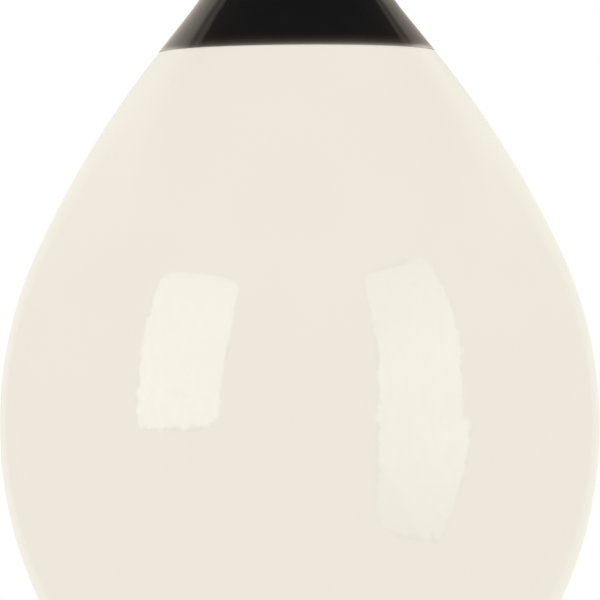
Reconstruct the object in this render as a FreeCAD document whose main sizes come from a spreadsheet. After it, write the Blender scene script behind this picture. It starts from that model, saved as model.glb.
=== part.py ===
import FreeCAD, Part
import math
import os

import Sketcher
from FreeCAD import Placement, Rotation, Vector

# A ball fender: a hollow moulded vinyl ball that draws in to a solid neck and a rope eye, with a
# dark coat over the neck and the eye, and a screw-plug air valve on the back of the neck.
# Millimetres and degrees. The origin is the centre of the rope hole. +Z is up, the hole runs along
# Y, and the ball hangs below the origin with its axis on Z. The valve is on the +Y side.

SIZES = [
    # The outline of the moulding, from the widest part down and up
    ("ball_diameter", 470, "the ball at its widest"),
    ("side_radius", 325, "arc of the side"),
    ("bilge_angle", 33.5, "turn of the side arc below the widest part, before the bottom cap"),
    ("shoulder_angle", 25.2, "turn of the side arc above the widest part, before the shoulder"),
    ("shoulder_radius", 768, "flatter arc of the shoulder"),
    ("cone_angle", 38.7, "how far the cone under the neck faces up"),
    ("cone_length", 38, "straight slant between shoulder and neck"),
    ("neck_drop", 108, "rope hole down to the top of the cone"),
    ("head_radius", 46, "round head of the rope eye"),
    # The wall of the ball and the domed top of the air space
    ("wall_thickness", 3.5, "wall of the ball"),
    ("dome_rise", 8, "top of the cone up to the top of the air space"),
    # The rope eye: flats scooped into the neck, and a round bead about the hole
    ("lug_thickness", 44, "across the flats"),
    ("flat_depth", 22, "rope hole down to where each flat starts to curve out"),
    ("scoop_radius", 66, "hollow from each flat out to the cone"),
    ("lug_edge_radius", 12, "rounding of the edges round the flats"),
    ("rope_hole_radius", 14, "clear hole for the rope, over the coat"),
    ("bead_radius", 7.1, "section of the bead about the hole"),
    ("bead_height", 3, "how far the bead stands out of each flat"),
    ("bead_foot_radius", 2, "hollow at the foot of the bead"),
    # The coat
    ("coat_thickness", 0.4, "vinyl coat over neck and eye"),
    ("coat_drop", 28.8, "top of the cone down to the edge of the coat"),
    # The seat of the valve on the neck
    ("valve_drop", 6, "down the cone from its top to the valve's axis"),
    ("boss_radius", 17, "round pad that carries the valve"),
    ("boss_height", 3, "pad above the cone, on the valve's axis"),
    ("boss_edge_radius", 1.2, "rounding of the pad's rim"),
    ("boss_foot_radius", 1.5, "hollow at the foot of the pad"),
    ("boss_root", 12, "pad below the cone, so that its sides reach the cone all round"),
    ("recess_depth", 2, "sink for the valve's flange in the pad"),
    ("valve_clearance", 0.1, "round the flange and the barrel"),
    ("air_way_length", 60, "cut from the pad into the air space"),
    # The valve's housing
    ("flange_radius", 12.5, "flange of the housing"),
    ("flange_thickness", 2.6, "flange of the housing"),
    ("flange_chamfer", 0.5, "rim of the flange"),
    ("barrel_radius", 8, "barrel of the housing"),
    ("barrel_length", 24, "barrel below the flange"),
    ("air_bore_radius", 2, "narrow end of the bore"),
    ("air_bore_length", 6, "narrow end of the bore"),
    ("bore_cone_length", 2.5, "step from the wide bore to the narrow one"),
    # The screw plug and its ring seal
    ("screw_head_radius", 6.2, "head of the plug"),
    ("screw_head_thickness", 2, "head of the plug"),
    ("screw_chamfer", 0.4, "rim of the head and tip of the shank"),
    ("screw_radius", 4, "shank of the plug"),
    ("screw_length", 13, "shank below the head"),
    ("slot_width", 1.6, "screwdriver slot"),
    ("slot_depth", 1.1, "screwdriver slot"),
    ("screw_clearance", 0.1, "round the head and the shank"),
    ("seal_height", 1.4, "flat ring seal under the plug's head"),
    ("seal_width", 2, "flat ring seal, from the bore out"),
]

doc = FreeCAD.newDocument("ball_fender")
sheet = doc.addObject("Spreadsheet::Sheet", "Sizes")
for row, (alias, number, meaning) in enumerate(SIZES, start=1):
    sheet.set(f"A{row}", alias)
    sheet.set(f"B{row}", str(number))
    sheet.set(f"C{row}", meaning)
    sheet.setAlias(f"B{row}", alias)
doc.recompute()


class Size:
    """A length or an angle from the sheet, as a number and as the expression that binds to it."""

    def __init__(self, number, text):
        self.number = number
        self.text = text

    def __add__(self, other):
        return Size(self.number + other.number, f"({self.text} + {other.text})")

    def __sub__(self, other):
        return Size(self.number - other.number, f"({self.text} - {other.text})")

    def __mul__(self, factor):
        if isinstance(factor, Size):
            return Size(self.number * factor.number, f"({self.text} * {factor.text})")
        return Size(self.number * factor, f"({self.text} * {factor})")

    def __truediv__(self, factor):
        return Size(self.number / factor, f"({self.text} / {factor})")

    def __neg__(self):
        return Size(-self.number, f"(-{self.text})")


def size(alias):
    """The size that has this name in the sheet."""
    return Size(float(sheet.get(alias)), f"Sizes.{alias}")


def sine(angle):
    return Size(math.sin(math.radians(angle.number)), f"sin({angle.text} * 1 deg)")


def cosine(angle):
    return Size(math.cos(math.radians(angle.number)), f"cos({angle.text} * 1 deg)")


ZERO = Size(0.0, "0")
RIGHT_ANGLE = Size(90.0, "90")
# The sketcher's own numbers for the points of a curve, and for a sketch's origin
START, END, CENTRE = range(1, 4)
ORIGIN = (-1, START)
LEAN_AXIS = Vector(-1, 0, 0)
# How many times its own size a cut runs on, to end clear of what it cuts
CLEAR = 2

ball_radius = size("ball_diameter") / 2
side_radius = size("side_radius")
shoulder_angle = size("shoulder_angle")
shoulder_radius = size("shoulder_radius")
cone_angle = size("cone_angle")
cone_length = size("cone_length")
neck_drop = size("neck_drop")
head_radius = size("head_radius")
coat = size("coat_thickness")
lug_half = size("lug_thickness") / 2

# From the widest part to the top of the cone: along the side, the shoulder and the cone
ball_rise = (
    (side_radius - shoulder_radius) * sine(shoulder_angle)
    + shoulder_radius * sine(cone_angle)
    + cone_length * cosine(cone_angle)
)
cone_top_radius = (
    ball_radius
    - side_radius
    + (side_radius - shoulder_radius) * cosine(shoulder_angle)
    + shoulder_radius * cosine(cone_angle)
    - cone_length * sine(cone_angle)
)
equator_depth = neck_drop + ball_rise
dome_depth = neck_drop - size("dome_rise")
coat_depth = neck_drop + size("coat_drop")


def new_body(name):
    body = doc.addObject("PartDesign::Body", name)
    body.Label = name
    return body


def new_sketch(body, name, plane_role):
    """A sketch on one of the body's own origin planes."""
    sketch = body.newObject("Sketcher::SketchObject", name)
    plane = next(f for f in body.Origin.OriginFeatures if f.Role == plane_role)
    sketch.AttachmentSupport = (plane, [""])
    sketch.MapMode = "FlatFace"
    return sketch


def bind(feature, **sizes):
    """Ties properties of a feature to sizes in the sheet."""
    for name, value in sizes.items():
        setattr(feature, name, value.number)
        feature.setExpression(name, value.text)


def relate(sketch, kind, *where):
    return sketch.addConstraint(Sketcher.Constraint(kind, *where))


def put_on_axis(sketch, geometry, point):
    """Keeps one point of a curve on the sketch's height axis, which is its geometry -2."""
    relate(sketch, "PointOnObject", geometry, point, -2)


def dimension(sketch, kind, *where, value):
    """A driving dimension, tied to the sheet."""
    if kind == "Angle":
        index = relate(sketch, kind, *where, math.radians(value.number))
        sketch.setExpression(f"Constraints[{index}]", f"{value.text} * 1 deg")
    else:
        index = relate(sketch, kind, *where, value.number)
        sketch.setExpression(f"Constraints[{index}]", value.text)


def place(sketch, geometry, point, across, up):
    """Dimensions one point of a curve from the sketch's origin."""
    if across is ZERO:
        put_on_axis(sketch, geometry, point)
    else:
        dimension(sketch, "DistanceX", *ORIGIN, geometry, point, value=across)
    dimension(sketch, "DistanceY", *ORIGIN, geometry, point, value=up)


def add_line(sketch, start, end, construction=False):
    line = Part.LineSegment(Vector(*start, 0), Vector(*end, 0))
    return sketch.addGeometry(line, construction)


def add_arc(sketch, centre, radius, start_angle, end_angle):
    """An arc that runs counter-clockwise between two angles in degrees."""
    circle = Part.Circle(Vector(*centre, 0), Vector(0, 0, 1), radius)
    span = math.radians(start_angle), math.radians(end_angle)
    return sketch.addGeometry(Part.ArcOfCircle(circle, *span), False)


def add_circle(sketch, radius):
    """A circle about the sketch's origin."""
    circle = sketch.addGeometry(Part.Circle(Vector(0, 0, 0), Vector(0, 0, 1), radius.number), False)
    relate(sketch, "Coincident", circle, CENTRE, *ORIGIN)
    dimension(sketch, "Radius", circle, value=radius)


def add_polygon(sketch, corners):
    """A closed outline of straight lines, with each corner dimensioned from the origin."""
    points = [(across.number, up.number) for across, up in corners]
    first = sketch.GeometryCount
    for start, end in zip(points, points[1:] + points[:1]):
        add_line(sketch, start, end)
    for step, (across, up) in enumerate(corners):
        before = first + (step - 1) % len(corners)
        relate(sketch, "Coincident", before, END, first + step, START)
        place(sketch, first + step, START, across, up)


def from_centre(centre, radius, angle):
    """The point at this angle, in degrees, on a circle."""
    turn = math.radians(angle)
    return centre[0] + radius * math.cos(turn), centre[1] + radius * math.sin(turn)


def add_spoke(sketch, arc, point, angle):
    """Holds one end of an arc at this angle round from the arc's centre."""
    curve = sketch.Geometry[arc]
    tip = curve.StartPoint if point == START else curve.EndPoint
    centre = curve.Center
    spoke = add_line(sketch, (centre.x, centre.y), (tip.x, tip.y), construction=True)
    relate(sketch, "Coincident", spoke, START, arc, CENTRE)
    relate(sketch, "Coincident", spoke, END, arc, point)
    dimension(sketch, "Angle", spoke, value=angle)


def draw_ball(sketch, allowance):
    """Bottom cap, side and shoulder arcs, each the allowance outside the bare moulding."""
    bilge = -size("bilge_angle")
    turn = shoulder_angle.number
    side = (ball_radius - side_radius).number, -equator_depth.number
    shoulder = from_centre(side, (side_radius - shoulder_radius).number, turn)
    cap_reach = -side[0] / math.cos(math.radians(bilge.number))
    cap = from_centre(side, cap_reach, bilge.number)
    cap_radius = (side_radius + allowance).number - cap_reach

    side_reach = side_radius + allowance
    shoulder_reach = shoulder_radius + allowance
    cap_arc = add_arc(sketch, cap, cap_radius, -90, bilge.number)
    side_arc = add_arc(sketch, side, side_reach.number, bilge.number, turn)
    shoulder_arc = add_arc(sketch, shoulder, shoulder_reach.number, turn, cone_angle.number)

    put_on_axis(sketch, cap_arc, CENTRE)
    put_on_axis(sketch, cap_arc, START)
    relate(sketch, "Tangent", cap_arc, END, side_arc, START)
    relate(sketch, "Tangent", side_arc, END, shoulder_arc, START)
    place(sketch, side_arc, CENTRE, ball_radius - side_radius, -equator_depth)
    dimension(sketch, "Radius", side_arc, value=side_reach)
    dimension(sketch, "Radius", shoulder_arc, value=shoulder_reach)
    add_spoke(sketch, side_arc, START, bilge)
    add_spoke(sketch, side_arc, END, shoulder_angle)
    return cap_arc, shoulder_arc


def draw_form_profile(sketch, allowance):
    """Half of the outer section, from the bottom of the ball to the top of the eye."""
    cap_arc, shoulder_arc = draw_ball(sketch, allowance)
    slope = cone_angle.number
    head = (head_radius + allowance).number
    shoulder_end = sketch.Geometry[shoulder_arc].EndPoint
    cone_start = shoulder_end.x, shoulder_end.y
    cone_end = from_centre(cone_start, cone_length.number, slope + 90)
    outward = from_centre((0, 0), 1, slope)
    reach = cone_end[0] * outward[0] + cone_end[1] * outward[1]
    neck_radius = (math.hypot(*cone_end) ** 2 - head**2) / (2 * (head - reach))
    neck = from_centre(cone_end, neck_radius, slope)
    head_turn = math.degrees(math.atan2(neck[1], neck[0]))

    cone = add_line(sketch, cone_start, cone_end)
    neck_arc = add_arc(sketch, neck, neck_radius, 180 + head_turn, 180 + slope)
    head_arc = add_arc(sketch, (0, 0), head, head_turn, 90)
    bottom = sketch.Geometry[cap_arc].StartPoint
    axis = add_line(sketch, (0, head), (0, bottom.y))

    add_spoke(sketch, shoulder_arc, END, cone_angle)
    relate(sketch, "Tangent", shoulder_arc, END, cone, START)
    dimension(sketch, "Distance", cone, value=cone_length)
    relate(sketch, "Tangent", cone, END, neck_arc, END)
    relate(sketch, "Tangent", neck_arc, START, head_arc, START)
    relate(sketch, "Coincident", head_arc, CENTRE, *ORIGIN)
    dimension(sketch, "Radius", head_arc, value=head_radius + allowance)
    put_on_axis(sketch, head_arc, END)
    relate(sketch, "Coincident", head_arc, END, axis, START)
    relate(sketch, "Coincident", axis, END, cap_arc, START)


def stand_on_valve_axis(feature, depth=ZERO):
    """Turns a feature's own Z square to the cone, and starts it this deep under the valve's place.

    The rotation needs an angle to keep its axis, so it gets a plain one before it is bound.
    """
    lean = RIGHT_ANGLE - cone_angle
    feature.Placement = Placement(Vector(0, 0, 0), Rotation(LEAN_AXIS, lean.number))
    reach = cone_top_radius + size("valve_drop") * sine(cone_angle) - depth * cosine(cone_angle)
    level = -neck_drop - size("valve_drop") * cosine(cone_angle) - depth * sine(cone_angle)
    feature.setExpression("Placement.Base.y", reach.text)
    feature.setExpression("Placement.Base.z", level.text)
    feature.setExpression("Placement.Rotation.Angle", f"{lean.text} * 1 deg")


def edges_where(feature, wanted):
    """Names of the feature's edges whose two faces pass the test."""
    shape = feature.Shape
    names = []
    for number, edge in enumerate(shape.Edges, start=1):
        faces = shape.ancestorsOfType(edge, Part.Face)
        if len(faces) == 2 and wanted(edge, *faces):
            names.append(f"Edge{number}")
    return names


def round_edges(body, name, radius, wanted):
    base = body.Tip
    doc.recompute()
    fillet = body.newObject("PartDesign::Fillet", name)
    fillet.Base = (base, edges_where(base, wanted))
    bind(fillet, Radius=radius)
    doc.recompute()
    return fillet


def is_scooped(face):
    """Is this face a flat of the eye, or the hollow that runs out of it?"""
    surface = face.Surface
    if isinstance(surface, Part.Plane):
        return abs(surface.Axis.y) > 0.999
    return isinstance(surface, Part.Cylinder) and abs(surface.Axis.x) > 0.999


def borders_scoop(edge, one, other):
    return is_scooped(one) != is_scooped(other)


def is_bead_foot(edge, one, other):
    kinds = {type(one.Surface), type(other.Surface)}
    return kinds == {Part.Plane, Part.Toroid}


def is_boss_rim(edge, one, other):
    """The rim of the valve's pad: a round flat end, next to the pad's round side."""
    kinds = {type(one.Surface), type(other.Surface)}
    round_rim = isinstance(edge.Curve, Part.Circle)
    return round_rim and kinds == {Part.Plane, Part.Cylinder} and edge.Curve.Center.y > 0


def is_boss_foot(edge, one, other):
    """Where the side of the valve's pad meets the cone or the neck."""
    kinds = {type(one.Surface), type(other.Surface)}
    if Part.Cylinder not in kinds or not kinds & {Part.Cone, Part.Toroid}:
        return False
    side = one.Surface if isinstance(one.Surface, Part.Cylinder) else other.Surface
    return not isinstance(edge.Curve, Part.Circle) and side.Axis.y * side.Axis.z != 0


def make_form(name, allowance):
    """The whole moulding as one solid, the allowance larger on every outer face."""
    body = new_body(name)
    profile = new_sketch(body, f"{name}_profile", "XZ_Plane")
    draw_form_profile(profile, allowance)
    doc.recompute()
    turned = body.newObject("PartDesign::Revolution", f"{name}_turned")
    turned.Profile = profile
    turned.ReferenceAxis = (profile, ["V_Axis"])
    turned.Angle = 360
    doc.recompute()
    cut_scoops(body, name, allowance)
    round_edges(body, f"{name}_lug_edges", size("lug_edge_radius") + allowance, borders_scoop)
    cut_rope_hole(body, name)
    add_bead(body, name, allowance)
    round_edges(body, f"{name}_bead_foot", size("bead_foot_radius") - allowance, is_bead_foot)
    add_boss(body, name, allowance)
    round_edges(body, f"{name}_boss_rim", size("boss_edge_radius") + allowance, is_boss_rim)
    round_edges(body, f"{name}_boss_foot", size("boss_foot_radius") - allowance, is_boss_foot)
    return body


def cut_scoops(body, name, allowance):
    """Cuts the flats of the eye, which hollow out on to the cone below."""
    sketch = new_sketch(body, f"{name}_scoop_section", "YZ_Plane")
    flat = lug_half + allowance
    radius = size("scoop_radius") - allowance
    centre = lug_half + size("scoop_radius"), -size("flat_depth")
    outside = ball_radius
    above = head_radius * CLEAR
    arc = add_arc(sketch, (centre[0].number, centre[1].number), radius.number, 180, 270)
    low = centre[0].number, (centre[1] - radius).number
    points = [
        low,
        (outside.number, low[1]),
        (outside.number, above.number),
        (flat.number, above.number),
        (flat.number, centre[1].number),
    ]
    floor, side, roof, face = [add_line(sketch, a, b) for a, b in zip(points, points[1:])]
    place(sketch, arc, CENTRE, *centre)
    dimension(sketch, "Radius", arc, value=radius)
    relate(sketch, "Tangent", face, END, arc, START)
    relate(sketch, "Tangent", arc, END, floor, START)
    relate(sketch, "Vertical", face)
    relate(sketch, "Horizontal", floor)
    relate(sketch, "Coincident", floor, END, side, START)
    relate(sketch, "Coincident", side, END, roof, START)
    relate(sketch, "Coincident", roof, END, face, START)
    relate(sketch, "Vertical", side)
    relate(sketch, "Horizontal", roof)
    place(sketch, side, END, outside, above)
    pocket = body.newObject("PartDesign::Pocket", f"{name}_scoop")
    pocket.Profile = sketch
    pocket.SideType = "Symmetric"
    bind(pocket, Length=ball_radius * 2)
    doc.recompute()
    mirrored = body.newObject("PartDesign::Mirrored", f"{name}_scoops")
    mirrored.Originals = [pocket]
    mirrored.MirrorPlane = (next(f for f in body.Origin.OriginFeatures if f.Role == "XZ_Plane"), [""])
    body.Tip = mirrored
    doc.recompute()


def bead_middle():
    """Radius of the ring that runs along the middle of the bead's section."""
    return size("rope_hole_radius") + coat + size("bead_radius")


def cut_rope_hole(body, name):
    """Opens the eye as far as the middle of the bead, which then lines it."""
    sketch = new_sketch(body, f"{name}_hole_circle", "XZ_Plane")
    add_circle(sketch, bead_middle())
    pocket = body.newObject("PartDesign::Pocket", f"{name}_hole")
    pocket.Profile = sketch
    pocket.SideType = "Symmetric"
    bind(pocket, Length=size("lug_thickness") * CLEAR)
    doc.recompute()


def add_bead(body, name, allowance):
    """The ring that lines the rope hole: straight inside, with full rounds at both mouths."""
    sketch = new_sketch(body, f"{name}_bead_section", "XY_Plane")
    radius = size("bead_radius") + allowance
    middle = bead_middle()
    reach = lug_half + size("bead_height") - size("bead_radius")
    inner, outer = (middle - radius).number, (middle + radius).number
    y = reach.number
    front = add_arc(sketch, (middle.number, -y), radius.number, 180, 360)
    outside = add_line(sketch, (outer, -y), (outer, y))
    back = add_arc(sketch, (middle.number, y), radius.number, 0, 180)
    inside = add_line(sketch, (inner, y), (inner, -y))
    place(sketch, front, CENTRE, middle, -reach)
    place(sketch, back, CENTRE, middle, reach)
    relate(sketch, "Tangent", front, END, outside, START)
    relate(sketch, "Tangent", outside, END, back, START)
    relate(sketch, "Tangent", back, END, inside, START)
    relate(sketch, "Tangent", inside, END, front, START)
    dimension(sketch, "Radius", front, value=radius)
    bead = body.newObject("PartDesign::Revolution", f"{name}_bead")
    bead.Profile = sketch
    bead.ReferenceAxis = (sketch, ["V_Axis"])
    bead.Angle = 360
    doc.recompute()


def add_boss(body, name, allowance):
    """The round pad on the back of the neck that carries the valve."""
    boss = body.newObject("PartDesign::AdditiveCylinder", f"{name}_boss")
    root = size("boss_root")
    bind(boss, Radius=size("boss_radius") + allowance, Height=root + size("boss_height") + allowance)
    stand_on_valve_axis(boss, root)
    doc.recompute()


def make_air_space():
    """The inside of the ball, closed by a dome under the solid neck."""
    body = new_body("air_space")
    sketch = new_sketch(body, "air_space_profile", "XZ_Plane")
    inset = -size("wall_thickness")
    cap_arc, shoulder_arc = draw_ball(sketch, inset)
    shoulder = sketch.Geometry[shoulder_arc].Center
    inner = (shoulder_radius + inset).number
    rise = -dome_depth.number - shoulder.y
    dome_radius = (inner**2 - rise**2 - shoulder.x**2) / (2 * (inner - rise))
    dome = 0, -dome_depth.number - dome_radius
    turn = math.degrees(math.atan2(dome[1] - shoulder.y, -shoulder.x))
    dome_arc = add_arc(sketch, dome, dome_radius, turn, 90)
    bottom = sketch.Geometry[cap_arc].StartPoint
    axis = add_line(sketch, (0, -dome_depth.number), (0, bottom.y))
    relate(sketch, "Tangent", shoulder_arc, END, dome_arc, START)
    put_on_axis(sketch, dome_arc, CENTRE)
    place(sketch, dome_arc, END, ZERO, -dome_depth)
    relate(sketch, "Coincident", dome_arc, END, axis, START)
    relate(sketch, "Coincident", axis, END, cap_arc, START)
    turned = body.newObject("PartDesign::Revolution", "air_space_turned")
    turned.Profile = sketch
    turned.ReferenceAxis = (sketch, ["V_Axis"])
    turned.Angle = 360
    doc.recompute()
    return body


def turn_on_valve_axis(name, corners):
    """A turned body on the valve's axis, from half of its section."""
    body = new_body(name)
    sketch = new_sketch(body, f"{name}_section", "XZ_Plane")
    add_polygon(sketch, corners)
    turned = body.newObject("PartDesign::Revolution", f"{name}_turned")
    turned.Profile = sketch
    turned.ReferenceAxis = (sketch, ["V_Axis"])
    turned.Angle = 360
    stand_on_valve_axis(body)
    doc.recompute()
    return body


# Heights along the valve's axis, from the cone's surface
recess_floor = size("boss_height") - size("recess_depth")
flange_top = recess_floor + size("flange_thickness")
barrel_end = recess_floor - size("barrel_length")
head_floor = flange_top - size("screw_head_thickness")
seal_floor = head_floor - size("seal_height")
screw_bore = size("screw_radius") + size("screw_clearance")
seal_outer = screw_bore + size("seal_width")


def make_valve_pocket():
    """What is cut out of the moulding and the coat for the valve, down into the air space."""
    clearance = size("valve_clearance")
    flange = size("flange_radius") + clearance
    barrel = size("barrel_radius") + clearance
    top = flange_top + size("boss_radius")
    bottom = recess_floor - size("air_way_length")
    return turn_on_valve_axis(
        "valve_pocket",
        [
            (ZERO, bottom),
            (barrel, bottom),
            (barrel, recess_floor),
            (flange, recess_floor),
            (flange, top),
            (ZERO, top),
        ],
    )


def make_valve_housing():
    """The flanged bush that is set in the neck, with a bore for the plug and a narrow air way."""
    flange = size("flange_radius")
    chamfer = size("flange_chamfer")
    barrel = size("barrel_radius")
    air = size("air_bore_radius")
    narrow_top = barrel_end + size("air_bore_length")
    head = size("screw_head_radius") + size("screw_clearance")
    return turn_on_valve_axis(
        "valve_housing",
        [
            (air, barrel_end),
            (barrel, barrel_end),
            (barrel, recess_floor),
            (flange, recess_floor),
            (flange, flange_top - chamfer),
            (flange - chamfer, flange_top),
            (head, flange_top),
            (head, head_floor),
            (seal_outer, head_floor),
            (seal_outer, seal_floor),
            (screw_bore, seal_floor),
            (screw_bore, narrow_top + size("bore_cone_length")),
            (air, narrow_top),
        ],
    )


def make_valve_screw():
    """The slotted plug that closes the valve."""
    head = size("screw_head_radius")
    chamfer = size("screw_chamfer")
    shank = size("screw_radius")
    tip = head_floor - size("screw_length")
    body = turn_on_valve_axis(
        "valve_screw",
        [
            (ZERO, tip),
            (shank - chamfer, tip),
            (shank, tip + chamfer),
            (shank, head_floor),
            (head, head_floor),
            (head, flange_top - chamfer),
            (head - chamfer, flange_top),
            (ZERO, flange_top),
        ],
    )
    sketch = new_sketch(body, "valve_screw_slot_section", "XZ_Plane")
    half = size("slot_width") / 2
    floor = flange_top - size("slot_depth")
    above = flange_top + size("slot_depth")
    add_polygon(sketch, [(-half, floor), (half, floor), (half, above), (-half, above)])
    slot = body.newObject("PartDesign::Pocket", "valve_screw_slot")
    slot.Profile = sketch
    slot.SideType = "Symmetric"
    bind(slot, Length=head * 2 + size("slot_width"))
    doc.recompute()
    return body


def make_valve_seal():
    """The flat ring seal under the plug's head."""
    return turn_on_valve_axis(
        "valve_seal",
        [
            (screw_bore, seal_floor),
            (seal_outer, seal_floor),
            (seal_outer, head_floor),
            (screw_bore, head_floor),
        ],
    )


def cut(name, base, tool):
    """One object with another taken out of it."""
    result = doc.addObject("Part::Cut", name)
    result.Label = name
    result.Base = base
    result.Tool = tool
    doc.recompute()
    return result


def make_fender_body(form, valve_pocket):
    """The moulding: the form, hollowed, with the seat of the valve."""
    hollow = cut("hollow_form", form, make_air_space())
    return cut("fender_body", hollow, valve_pocket)


def make_top_coat(form, valve_pocket):
    """The coat: the skin between the form and its larger twin, down to the coat's edge."""
    twin = make_form("coat_form", coat)
    skin = cut("coat_skin", twin, form)
    reach = doc.addObject("Part::Cylinder", "coat_reach")
    bind(reach, Radius=ball_radius, Height=coat_depth + head_radius * CLEAR)
    reach.setExpression("Placement.Base.z", (-coat_depth).text)
    upper = doc.addObject("Part::Common", "coat_upper_skin")
    upper.Base = skin
    upper.Tool = reach
    doc.recompute()
    return cut("top_coat", upper, valve_pocket)


def check_document():
    """Stops if any object failed, or any sub-part is empty or invalid."""
    for thing in doc.Objects:
        if {"Invalid", "Error"} & set(thing.State):
            raise RuntimeError(f"{thing.Name} failed: {thing.State}")
    for piece in pieces:
        shape = piece.Shape
        if shape.isNull() or not shape.isValid() or len(shape.Solids) != 1:
            raise RuntimeError(f"{piece.Label} isn't one valid solid")


form = make_form("moulded_form", ZERO)
valve_pocket = make_valve_pocket()
pieces = [
    make_fender_body(form, valve_pocket),
    make_top_coat(form, valve_pocket),
    make_valve_housing(),
    make_valve_screw(),
    make_valve_seal(),
]
doc.recompute()
check_document()

os.makedirs("parts", exist_ok=True)
for piece in pieces:
    piece.Shape.exportStep(f"parts/{piece.Label}.step")
    box = piece.Shape.BoundBox
    print(
        f"{piece.Label}: {piece.Shape.Volume / 1000:.1f} cm3,"
        f" x {box.XMin:.1f}..{box.XMax:.1f}, y {box.YMin:.1f}..{box.YMax:.1f},"
        f" z {box.ZMin:.1f}..{box.ZMax:.1f}"
    )
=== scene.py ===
# %% [markdown]
# # A ball fender, from its CAD frame to a picture
# A ball fender hangs on a rope at the side of a boat. It is a hollow vinyl ball that draws in to
# a neck and a rope eye, with a dark coat over the neck and a screw-plug air valve at the back.
# The CAD model fixes every shape and size. This lesson gives it its light, its camera and its
# finishes. The frame is loaded first, because each later step asks it where things are.

# %% Load the frame
import math

import bpy
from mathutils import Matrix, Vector


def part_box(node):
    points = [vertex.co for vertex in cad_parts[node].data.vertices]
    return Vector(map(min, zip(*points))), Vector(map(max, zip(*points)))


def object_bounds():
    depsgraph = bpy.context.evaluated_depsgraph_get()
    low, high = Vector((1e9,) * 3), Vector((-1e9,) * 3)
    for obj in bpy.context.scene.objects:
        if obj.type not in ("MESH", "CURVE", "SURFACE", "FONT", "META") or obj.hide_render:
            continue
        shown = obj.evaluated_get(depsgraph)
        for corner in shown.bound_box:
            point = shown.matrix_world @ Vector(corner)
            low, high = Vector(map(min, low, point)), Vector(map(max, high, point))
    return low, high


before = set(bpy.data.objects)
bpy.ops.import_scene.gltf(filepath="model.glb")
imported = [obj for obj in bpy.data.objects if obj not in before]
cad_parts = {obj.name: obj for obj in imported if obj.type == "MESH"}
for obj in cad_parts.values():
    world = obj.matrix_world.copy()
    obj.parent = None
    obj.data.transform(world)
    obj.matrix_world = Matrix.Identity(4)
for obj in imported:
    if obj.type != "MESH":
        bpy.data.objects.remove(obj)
cad_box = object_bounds()
MM = 0.001
print("CAD nodes:", sorted(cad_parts))
print("CAD box:", [[round(value, 4) for value in corner] for corner in cad_box])

# %% [markdown]
# ## Writing shader maths as plain sums
# A finish is a small network of nodes. Adding and linking each node by hand hides the idea under
# a page of wiring. So one small class wraps an output socket, and its operators add the Math
# nodes: `1 - mask` reads as what it means. Colours and vectors can't go through a Math node,
# which would turn a colour grey, so they take Vector Math and Mix instead. Every other node comes
# from one method that sets the node's own settings first, since some of them change its sockets.
# Four short methods on top of it name what is asked for most often.


# %% A socket that can be used in sums
class Wire:
    """An output socket of a node, for use in sums."""

    def __init__(self, graph, socket):
        self.graph = graph
        self.socket = socket

    def combine(self, operation, first, second):
        """A Math node for numbers, or a Vector Math node where a vector or colour takes part."""
        wires = [one for one in (first, second) if isinstance(one, Wire)]
        plain = all(wire.socket.type == "VALUE" for wire in wires)
        kind = "Math" if plain else "VectorMath"
        return self.graph.node(kind, {"operation": operation}, {0: first, 1: second})

    def __add__(self, other):
        return self.combine("ADD", self, other)

    def __sub__(self, other):
        return self.combine("SUBTRACT", self, other)

    def __mul__(self, other):
        return self.combine("MULTIPLY", self, other)

    def __truediv__(self, other):
        return self.combine("DIVIDE", self, other)

    def __rsub__(self, other):
        return self.combine("SUBTRACT", other, self)

    def __abs__(self):
        return self.graph.node("Math", {"operation": "ABSOLUTE"}, {0: self})

    __radd__ = __add__
    __rmul__ = __mul__


# %% A graph that adds nodes
class Graph:
    """The nodes of one material, or of the world."""

    def __init__(self, owner):
        owner.use_nodes = True
        self.nodes = owner.node_tree.nodes
        self.links = owner.node_tree.links
        self.nodes.clear()

    def node(self, kind, settings=None, sockets=None, output=0):
        """Adds a node, with its settings first, and returns one of its outputs if it has any."""
        made = self.nodes.new("ShaderNode" + kind)
        for name, value in (settings or {}).items():
            if name == "stops":
                set_stops(made.color_ramp, value)
            else:
                setattr(made, name, value)
        for name, value in (sockets or {}).items():
            if isinstance(value, Wire):
                self.links.new(value.socket, made.inputs[name])
            else:
                made.inputs[name].default_value = value
        return Wire(self, made.outputs[output]) if made.outputs else None

    def part(self, vector, axis):
        """One part of a vector: 0, 1 or 2 for x, y or z."""
        return self.node("SeparateXYZ", sockets={0: vector}, output=axis)

    def noise(self, place, scale, detail=3.0):
        """Soft noise about 0.5. The scale is how many of its blotches there are to a metre."""
        return self.node("TexNoise", sockets={"Vector": place, "Scale": scale, "Detail": detail})

    def ramp(self, value, low, high):
        """0 at low and 1 at high, with a soft start and end."""
        settings = {"interpolation_type": "SMOOTHSTEP"}
        sockets = {"Value": value, "From Min": low, "From Max": high}
        return self.node("MapRange", settings, sockets)

    def mix(self, factor, first, second):
        """A colour that goes from the first to the second as the factor goes from 0 to 1."""
        sockets = {"Factor": factor, 6: first, 7: second}
        return self.node("Mix", {"data_type": "RGBA"}, sockets, output=2)


def set_stops(color_ramp, stops):
    """Gives a colour ramp these stops, as pairs of a place and a colour."""
    while len(color_ramp.elements) < len(stops):
        color_ramp.elements.new(1.0)
    for element, (place, colour) in zip(color_ramp.elements, stops):
        element.position = place
        element.color = (*colour, 1)


print("Shader maths is ready")

# %% [markdown]
# ## The camera
# The picture was taken from nearly four metres away with a long lens, level with the middle of
# what it shows. At that distance the ball hardly gets wider towards the lens, so its outline is
# almost the true one. The fender hangs very slightly out of plumb, which a small roll of the
# camera gives. The lens is worked out from the width that the picture covers at the axis.

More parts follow.
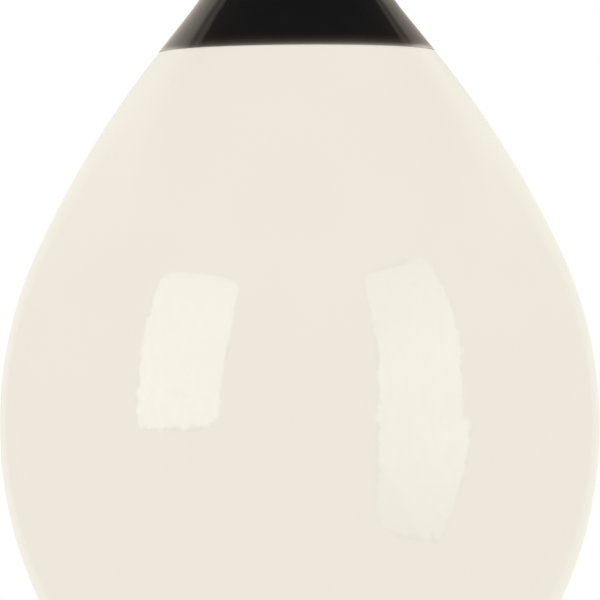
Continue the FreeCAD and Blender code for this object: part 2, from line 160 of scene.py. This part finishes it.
# %% Place the camera
# In metres, but for the roll
VIEW_DISTANCE = 3.84
VIEW_WIDTH = 0.4706
VIEW_HEIGHT = -0.3317
VIEW_ASIDE = 0.0010
VIEW_ROLL = math.radians(0.44)
LEVEL = math.radians(90)


def add_object(name, data):
    """Puts a new object with this mesh or camera in the scene."""
    made = bpy.data.objects.new(name, data)
    bpy.context.collection.objects.link(made)
    return made


camera_data = bpy.data.cameras.new("camera")
camera_data.lens = camera_data.sensor_width * VIEW_DISTANCE / VIEW_WIDTH
camera = add_object("camera", camera_data)
camera.location = (VIEW_ASIDE, -VIEW_DISTANCE, VIEW_HEIGHT)
camera.rotation_euler = (LEVEL, VIEW_ROLL, 0)
bpy.context.scene.camera = camera
bpy.context.scene.view_settings.view_transform = "Standard"
print(f"Lens {camera_data.lens:.0f} mm, {VIEW_DISTANCE} m from the axis")

# %% [markdown]
# ## The studio
# A glossy ball is a picture of the room round it. The light itself is plain white from all
# sides, a touch more from above, so each colour comes out as it is written. What the gloss
# mirrors is another matter: pale walls all round, a paler backdrop behind the fender, and a dark
# ceiling, with a strip of light where the two meet. The walls keep the cream even out to its rim,
# where the backdrop draws a thin light line. The ceiling is why the coat on the neck looks black
# in front and has a pale band at its sides, and a little shade high up dims the right band more
# than the left. Modelled walls would do too, but the world can hold the whole studio as sums over
# a direction, and the Light Path node tells a mirrored ray from one that only lights.

# %% Choose the walls, the ceiling and the backdrop
# A pair says where a part of the studio begins and where it has its full strength
WALL = (0.87, 0.82, 0.73, 1)
WALL_TOP = (0.53, 0.588)
WALL_TILT = 0.068
GAP_LEVEL = 0.335
STRIP_BOTTOM = (0.60, 0.62)
STRIP_TOP = (0.637, 0.667)
STRIP_LEVEL = 0.205
CEILING = (0.04, 0.04, 0.04, 1)
OVERHEAD = (0.42, 0.60)
BACKDROP = (0.945, 0.93, 0.83, 1)
BACKDROP_MIDDLE = 0.02
BACKDROP_EDGE = (0.39, 0.50)
BACKDROP_FLARE = 0.24
BEHIND = (0, 0.2)
SHADE_FROM = (0.615, 0.655)
SHADE_SIDES = (-0.15, 0.15)
SHADE_LEFT = 0.10
SHADE_RIGHT = 0.25
FROM_ABOVE = 0.03
NOT_ZERO = 0.001

world = bpy.data.worlds.new("studio")
bpy.context.scene.world = world
world.cycles.sampling_method = "NONE"
sky = Graph(world)
direction = sky.node("TexCoord")
aside = sky.part(direction, 0)
back = sky.part(direction, 1)
up = sky.part(direction, 2)
print(f"A ceiling that keeps {CEILING[0]:.0%} of the light")

# %% Light the world
# The ceiling doesn't reach far forward. The slope, which is the height of a direction over its
# way from straight back, sets the front edge, and the height alone sets the others
from_back = sky.node("Math", {"operation": "SQRT"}, {0: 2 + NOT_ZERO - back * 2})
slope = up / from_back
overhead = sky.ramp(slope, *OVERHEAD)

# Over the walls comes a gap that is two thirds dark, with the strip in it, then the ceiling
tilted = up + aside * WALL_TILT
past_strip = sky.ramp(tilted, *STRIP_TOP)
strip = sky.ramp(tilted, *STRIP_BOTTOM) * (1 - past_strip)
past_wall = sky.ramp(tilted, *WALL_TOP) * (1 - GAP_LEVEL)
dark = overhead * (past_wall + past_strip * GAP_LEVEL - strip * STRIP_LEVEL)

# The backdrop is an upright band that is a little wider at its top and bottom
beside = abs(aside - BACKDROP_MIDDLE) - abs(up) * BACKDROP_FLARE
on_backdrop = (1 - sky.ramp(beside, *BACKDROP_EDGE)) * sky.ramp(back, *BEHIND)
wall = sky.mix(on_backdrop, WALL, BACKDROP)

# The shade lies high up and is deeper at the right
shade = SHADE_LEFT + sky.ramp(aside, *SHADE_SIDES) * (SHADE_RIGHT - SHADE_LEFT)
shade = shade * sky.ramp(slope, *SHADE_FROM)
mirrored = sky.mix(dark + (1 - dark) * shade, wall, CEILING)

# What the camera sees past the fender stays white. What lights it is a touch stronger from above
is_glossy = sky.node("LightPath", output=3)
is_camera = sky.node("LightPath")
ambient = 1 + up * (1 - is_camera) * FROM_ABOVE
plain = sky.node("CombineColor", sockets={0: ambient, 1: ambient, 2: ambient})
background = sky.node("Background", sockets={"Color": sky.mix(is_glossy, plain, mirrored)})
sky.node("OutputWorld", sockets={"Surface": background})
print("Light from all sides; pale walls and a dark ceiling for the gloss")

# %% [markdown]
# ## The cloth of a softbox
# The two pale shapes on the ball are softboxes: cloth-fronted lamps, left and right of the
# camera. A Blender area lamp would do for a plain rectangle, but cloth sags and its glow is
# uneven, so each box is a small sheet of its own, and its material only glows. How brightly it
# glows is kept on the mesh as an attribute, which the shader reads. Noise then creases the cloth:
# it shifts the hem in and out and makes the glow a little uneven. A corner can be turned in,
# which makes it dimmer.

# %% Weave the glowing cloth
# The hem, the creases' shifts and the fold are shares of the sheet's width or height
LAMP_COLOUR = (0.96, 1.06, 0.99)
HEM = 0.010
CREASE_SCALE = 13.0
CREASE_ASIDE = 0.15
CREASE_UP = 0.08
CREASE_GLOW = 0.8
FOLD_SLOPE = 0.4
FOLD_EDGE = (0.26, 0.30)


def glowing_cloth(name, margins, fold):
    """Light that fades over a margin at the left, right, bottom and top edge of the sheet.

    The fold is the share of the light that a turned-in lower left corner takes away.
    """
    material = bpy.data.materials.new(name)
    graph = Graph(material)
    place = graph.node("TexCoord", output=2)
    crease = graph.noise(graph.node("NewGeometry"), CREASE_SCALE) - 0.5
    across = graph.part(place, 0) + crease * CREASE_ASIDE
    up = graph.part(place, 1) + crease * CREASE_UP
    glow = graph.node("Attribute", {"attribute_name": "glow"}, output=2)
    glow = glow * (1 + crease * CREASE_GLOW)
    turned_in = 1 - graph.ramp(up + across * FOLD_SLOPE, *FOLD_EDGE)
    glow = glow * (1 - turned_in * fold)
    left, right, bottom, top = margins
    low, high = HEM, 1 - HEM
    fade = graph.ramp(across, low, low + left) * (1 - graph.ramp(across, high - right, high))
    fade = fade * graph.ramp(up, low, low + bottom) * (1 - graph.ramp(up, high - top, high))
    sockets = {0: LAMP_COLOUR, "Scale": fade * glow}
    colour = graph.node("VectorMath", {"operation": "SCALE"}, sockets)
    light = graph.node("Emission", sockets={"Color": colour})
    graph.node("OutputMaterial", sockets={"Surface": light})
    return material


print("Cloth that glows in", LAMP_COLOUR)

# %% [markdown]
# ## Two sheets of light
# The sheets are about 1.3 by 1.7 and 1.3 by 2.9 metres. Each is given as rows from the bottom up:
# a height, how far it reaches left and right, and how brightly it glows at both ends. That is
# enough for a sagging outline, and quicker to change than a mesh drawn by hand. The left sheet
# leans a little, and the right one has a corner turned in. They only show in reflections, because
# the world already does the lighting.

# %% Sew a sheet of light
SOFTBOX_DISTANCE = 2.0
SOFTBOX_COLUMNS = 6
BALL_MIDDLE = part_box("fender_body")[1].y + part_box("fender_body")[0].z


def add_softbox(name, azimuth, rows, margins, fold=0.0, lean=0.0):
    """A glowing sheet that faces the ball, from rows of height, two edges and two glows.

    The lean is how much higher its right side reaches than its left, as a share of the height.
    """
    turn = math.radians(azimuth)
    toward = Vector((math.sin(turn), -math.cos(turn), 0))
    across = Vector((math.cos(turn), math.sin(turn), 0))
    middle = toward * SOFTBOX_DISTANCE + Vector((0, 0, BALL_MIDDLE))
    points, glows, places = [], [], []
    low, high = rows[0][0], rows[-1][0]
    for height, left, right, left_glow, right_glow in rows:
        for column in range(SOFTBOX_COLUMNS):
            share = column / (SOFTBOX_COLUMNS - 1)
            reach = left + (right - left) * share
            rise = height * (1 + lean * (share - 0.5))
            points.append(middle + across * reach + Vector((0, 0, rise)))
            glows.append(left_glow + (right_glow - left_glow) * share)
            places.append((share, (height - low) / (high - low)))
    faces = []
    for row in range(len(rows) - 1):
        for column in range(SOFTBOX_COLUMNS - 1):
            corner = row * SOFTBOX_COLUMNS + column
            above = corner + SOFTBOX_COLUMNS
            faces.append((corner, corner + 1, above + 1, above))
    mesh = bpy.data.meshes.new(name)
    mesh.from_pydata(points, [], faces)
    mesh.attributes.new("glow", "FLOAT", "POINT").data.foreach_set("value", glows)
    layer = mesh.uv_layers.new(name="sheet")
    for loop in mesh.loops:
        layer.data[loop.index].uv = places[loop.vertex_index]
    mesh.materials.append(glowing_cloth(name, margins, fold))
    sheet = add_object(name, mesh)
    sheet.visible_camera = False
    sheet.visible_diffuse = False
    sheet.visible_transmission = False
    sheet.visible_shadow = False
    print(f"{name}: {high - low:.2f} m tall, {len(faces)} faces")


# %% Hang the softboxes
LEFT_AZIMUTH = -46.5
LEFT_MARGINS = (0.03, 0.02, 0.02, 0.02)
LEFT_LEAN = 0.06
LEFT_ROWS = [
    (0.00, -0.38, 0.40, 2.6, 2.3),
    (0.06, -0.49, 0.54, 2.6, 2.4),
    (0.14, -0.52, 0.66, 2.6, 2.4),
    (0.43, -0.53, 0.68, 2.6, 2.5),
    (0.86, -0.59, 0.74, 2.5, 2.5),
    (1.20, -0.61, 0.76, 2.4, 2.5),
    (1.40, -0.64, 0.77, 2.2, 2.3),
    (1.52, -0.65, 0.78, 2.1, 2.2),
    (1.60, -0.63, 0.77, 2.0, 2.2),
    (1.70, -0.30, 0.71, 2.0, 2.1),
]
RIGHT_AZIMUTH = 48.5
RIGHT_MARGINS = (0.03, 0.02, 0.015, 0.015)
RIGHT_FOLD = 0.18
RIGHT_ROWS = [
    (-1.05, -0.35, 0.28, 1.45, 1.4),
    (-0.95, -0.66, 0.34, 1.5, 1.4),
    (-0.82, -0.76, 0.39, 1.6, 1.45),
    (-0.55, -0.77, 0.45, 1.7, 1.7),
    (-0.25, -0.77, 0.53, 1.9, 2.1),
    (0.04, -0.78, 0.57, 2.0, 2.2),
    (0.10, -0.79, 0.45, 2.0, 2.1),
    (0.45, -0.74, 0.48, 2.1, 2.3),
    (0.75, -0.72, 0.56, 2.1, 2.2),
    (1.10, -0.72, 0.60, 1.8, 1.9),
    (1.60, -0.73, 0.54, 1.6, 1.6),
    (1.75, -0.74, 0.50, 1.5, 1.4),
    (1.82, -0.72, 0.10, 1.5, 1.4),
]
add_softbox("softbox_left", LEFT_AZIMUTH, LEFT_ROWS, LEFT_MARGINS, lean=LEFT_LEAN)
add_softbox("softbox_right", RIGHT_AZIMUTH, RIGHT_ROWS, RIGHT_MARGINS, fold=RIGHT_FOLD)

# %% [markdown]
# ## The floor
# The fender stands on a pale floor just under its lowest point. The floor is a disc that fades
# out into the white of the world, so no horizon line shows. It catches the ball's soft shadow,
# but sends no light back up: that keeps the underside of the ball the colour that it is. Seen
# from below it is clear, so that a low view still shows the ball.

# %% Lay the floor
FLOOR_RADIUS = 2.2
FLOOR_SEGMENTS = 96
FLOOR_COLOUR = (0.93, 0.93, 0.93, 1)
FLOOR_FADE = (0.45, 0.98)

height = cad_box[0][2] - MM
ring = []
for step in range(FLOOR_SEGMENTS):
    turn = 2 * math.pi * step / FLOOR_SEGMENTS
    ring.append((FLOOR_RADIUS * math.cos(turn), FLOOR_RADIUS * math.sin(turn), height))
mesh = bpy.data.meshes.new("floor")
mesh.from_pydata(ring, [], [tuple(range(FLOOR_SEGMENTS))])
floor = add_object("floor", mesh)
floor.visible_glossy = False
floor.visible_diffuse = False

floor_material = bpy.data.materials.new("pale_floor")
graph = Graph(floor_material)
flat = graph.node("NewGeometry") * (1, 1, 0)
reach = graph.node("VectorMath", {"operation": "LENGTH"}, {0: flat}, output=1)
edge = graph.ramp(reach / FLOOR_RADIUS, *FLOOR_FADE)
from_above = 1 - graph.node("NewGeometry", output=6)
paint = graph.node("BsdfDiffuse", sockets={"Color": FLOOR_COLOUR})
clear = graph.node("BsdfTransparent")
shown = graph.node("MixShader", sockets={0: (1 - edge) * from_above, 1: clear, 2: paint})
graph.node("OutputMaterial", sockets={"Surface": shown})
floor.data.materials.append(floor_material)
print(f"Floor {FLOOR_RADIUS} m in radius")

# %% [markdown]
# ## A recipe for vinyl
# The ball and its coat are both soft, glossy vinyl. The life of such a surface is in its shape: a
# trace of orange peel from the mould, and slow waves where the skin is a little thicker or
# thinner. They are far too fine for the mesh, so they are bumps. One recipe makes both vinyls, and
# a function for each gives its own colour and gloss.

# %% Write the recipe for vinyl
# Slow waves, small ripples and orange peel: how many to a metre, and how deep
VINYL_BUMPS = [(9.0, 0.4 * MM), (60.0, 0.03 * MM), (420.0, 0.004 * MM)]
PEEL_ROUGHNESS = 0.05


def vinyl(name, skin, ior, haze=None):
    """A glossy vinyl. From a graph and a place, the skin gives colour, roughness and matt share.

    The haze is a constant sheen, as values of the sheen's sockets.
    """
    material = bpy.data.materials.new(name)
    graph = Graph(material)
    place = graph.node("NewGeometry")
    bump = None
    for scale, depth in VINYL_BUMPS:
        peel = graph.noise(place, scale, detail=1.0)
        sockets = {"Height": peel, "Distance": depth}
        if bump:
            sockets["Normal"] = bump
        bump = graph.node("Bump", sockets=sockets)
    colour, roughness, matt = skin(graph, place)
    sockets = {
        "Base Color": colour,
        "Roughness": roughness + (peel - 0.5) * PEEL_ROUGHNESS,
        "IOR": ior,
        "Normal": bump,
        **(haze or {}),
    }
    surface = graph.node("BsdfPrincipled", sockets=sockets)
    if matt:
        rubbed = graph.node("BsdfDiffuse", sockets={"Color": colour, "Normal": bump})
        surface = graph.node("MixShader", sockets={0: matt, 1: surface, 2: rubbed})
    graph.node("OutputMaterial", sockets={"Surface": surface})
    return material


def dress(node, material):
    """Gives a CAD node its finish, in place of the plain one that it came with."""
    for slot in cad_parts[node].material_slots:
        slot.material = material
    print(f"{node}: {material.name}")


print(f"A recipe with {len(VINYL_BUMPS)} sizes of bump")

# %% [markdown]
# ## Cream vinyl
# The ball's colour is nearly the same all over, and drifts by a percent, as cast vinyl does. On
# the cone under the coat, where the wall is thicker and less stretched, the skin is a little
# duller.
# Its colour there is painted a little paler, and palest at its right. That is painted light, which
# makes up for the dark ceiling and the high shade at the right that the cone mirrors. Painting a
# map would need an image, so masks over the height and the width do that.

# %% Mix the cream vinyl
CREAM = (0.857, 0.808, 0.719, 1)
CREAM_DRIFT = (0.852, 0.802, 0.712, 1)
# Painted light: a paler cream for the cone, which makes up for the dark ceiling that it mirrors
CREAM_CONE_PAINTED_LIGHT = (0.882, 0.830, 0.739, 1)
# Painted light: paler still at the right flank under the coat, making up for the shade mirrored
# there
CREAM_RIGHT_PAINTED_LIGHT = (0.910, 0.855, 0.758, 1)
CREAM_IOR = 1.5
CREAM_ROUGHNESS = 0.06
CONE_ROUGHER = 0.19
DRIFT_SCALE = 14.0
DRIFT_RANGE = (0.35, 0.75)
SHOULDER = (-0.30, -0.17)
UNDER_COAT = (-0.185, -0.140)
# Painted light: the right flank's paler cream grows over this width
PAINTED_LIGHT_RIGHT = (0, 85 * MM)


def cream_skin(graph, place):
    """Cream that drifts a little and is duller on the cone, where painted light makes it paler,
    most at its right.
    """
    aside = graph.part(place, 0)
    height = graph.part(place, 2)
    on_cone = graph.ramp(height, *SHOULDER)
    drift = graph.ramp(graph.noise(place, DRIFT_SCALE), *DRIFT_RANGE)
    colour = graph.mix(drift, CREAM, CREAM_DRIFT)
    # Painted light: the cone is painted paler to make up for the dark ceiling that it mirrors
    colour = graph.mix(on_cone, colour, CREAM_CONE_PAINTED_LIGHT)
    # Painted light: paler still at the right just under the coat, making up for the shade it
    # mirrors there
    pale = graph.ramp(height, *UNDER_COAT) * graph.ramp(aside, *PAINTED_LIGHT_RIGHT)
    colour = graph.mix(pale, colour, CREAM_RIGHT_PAINTED_LIGHT)
    return colour, CREAM_ROUGHNESS + on_cone * CONE_ROUGHER, None


dress("fender_body", vinyl("cream_vinyl", cream_skin, CREAM_IOR))

# %% [markdown]
# ## The dark coat
# The neck and the eye are covered by a second, nearly black vinyl. It was put on thin at its
# lower edge, so a little of the cream shines through there: the last few millimetres go from
# black through warm brown to grey. The height above the edge drives a colour ramp for that. The
# fade sits a touch askew, and it is longer at the two flanks, where the coat is thinnest. A weak
# warm sheen stands for the fine dust that such a dark skin holds: it tints what its sides mirror.
# The right side is rubbed, so it mirrors less: a Mix Shader gives it a small matt share.

# %% Mix the dark vinyl
COAT_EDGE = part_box("top_coat")[0].z
FADE_FROM = -3 * MM
FADE_HEIGHT = 25 * MM
FADE_STOPS = [
    (0.000, (0.640, 0.600, 0.530)),
    (0.060, (0.440, 0.410, 0.365)),
    (0.120, (0.240, 0.220, 0.200)),
    (0.154, (0.130, 0.118, 0.106)),
    (0.187, (0.078, 0.070, 0.060)),
    (0.226, (0.045, 0.038, 0.032)),
    (0.274, (0.033, 0.026, 0.022)),
    (0.331, (0.020, 0.014, 0.013)),
    (0.427, (0.0110, 0.0073, 0.0067)),
    (0.542, (0.0067, 0.0063, 0.0063)),
    (0.860, (0.0058, 0.0065, 0.0071)),
]
COAT_LEAN = 0.006
THIN_FLANK = (82 * MM, 100 * MM)
THIN_BY = 1.7 * MM
CLOUD_SCALE = 40.0
CLOUD_DEPTH = 0.4
COAT_IOR = 1.42
COAT_ROUGHNESS = 0.08
MATT_FLANK = (0, 60 * MM)
MATT_SHARE = 0.21
WARM_HAZE = {
    "Sheen Weight": 0.2,
    "Sheen Roughness": 0.33,
    "Sheen Tint": (1.0, 0.50, 0.25, 1),
}


def coat_skin(graph, place):
    """Black that fades to the cream at its edge, a little cloudy, with a matt right side."""
    aside = graph.part(place, 0)
    flank = graph.ramp(abs(aside), *THIN_FLANK)
    height = graph.part(place, 2) - COAT_EDGE - aside * COAT_LEAN - flank * THIN_BY
    share = (height - FADE_FROM) / FADE_HEIGHT
    fade = graph.node("ValToRGB", {"stops": FADE_STOPS}, {"Fac": share})
    cloud = 1 + (graph.noise(place, CLOUD_SCALE) - 0.5) * CLOUD_DEPTH
    matt = graph.ramp(aside, *MATT_FLANK) * MATT_SHARE
    return fade * cloud, COAT_ROUGHNESS, matt


dress("top_coat", vinyl("dark_vinyl", coat_skin, COAT_IOR, WARM_HAZE))

# %% [markdown]
# ## The air valve
# The valve's housing is a hard, dark plastic with a satin face. The plug is off-white nylon,
# which is a little waxy, and the ring under its head is matt rubber. They differ only in colour,
# gloss and grain, so one recipe does for all three: a fine noise raises the grain and shifts the
# colour and the gloss with it.

# %% Mix the valve's plastics
GRAIN_ROUGHNESS = 0.1
# Two colours, the roughness, and the grain: how many to a metre, and how deep
BLACK_PLASTIC = ((0.012, 0.012, 0.013, 1), (0.020, 0.020, 0.021, 1), 0.35, 900.0, 0.02 * MM)
NYLON = ((0.78, 0.76, 0.70, 1), (0.70, 0.68, 0.61, 1), 0.28, 500.0, 0.015 * MM)
RUBBER = ((0.018, 0.018, 0.018, 1), (0.030, 0.030, 0.030, 1), 0.75, 1400.0, 0.03 * MM)


def plastic(name, colour, shade, roughness, grain_scale, grain_depth):
    """A moulded plastic or rubber with a fine grain that also shifts its colour."""
    material = bpy.data.materials.new(name)
    graph = Graph(material)
    grain = graph.noise(graph.node("NewGeometry"), grain_scale)
    sockets = {
        "Base Color": graph.mix(grain, colour, shade),
        "Roughness": roughness + (grain - 0.5) * GRAIN_ROUGHNESS,
        "Normal": graph.node("Bump", sockets={"Height": grain, "Distance": grain_depth}),
    }
    surface = graph.node("BsdfPrincipled", sockets=sockets)
    graph.node("OutputMaterial", sockets={"Surface": surface})
    return material


dress("valve_housing", plastic("black_plastic", *BLACK_PLASTIC))
dress("valve_screw", plastic("pale_nylon", *NYLON))
dress("valve_seal", plastic("dark_rubber", *RUBBER))
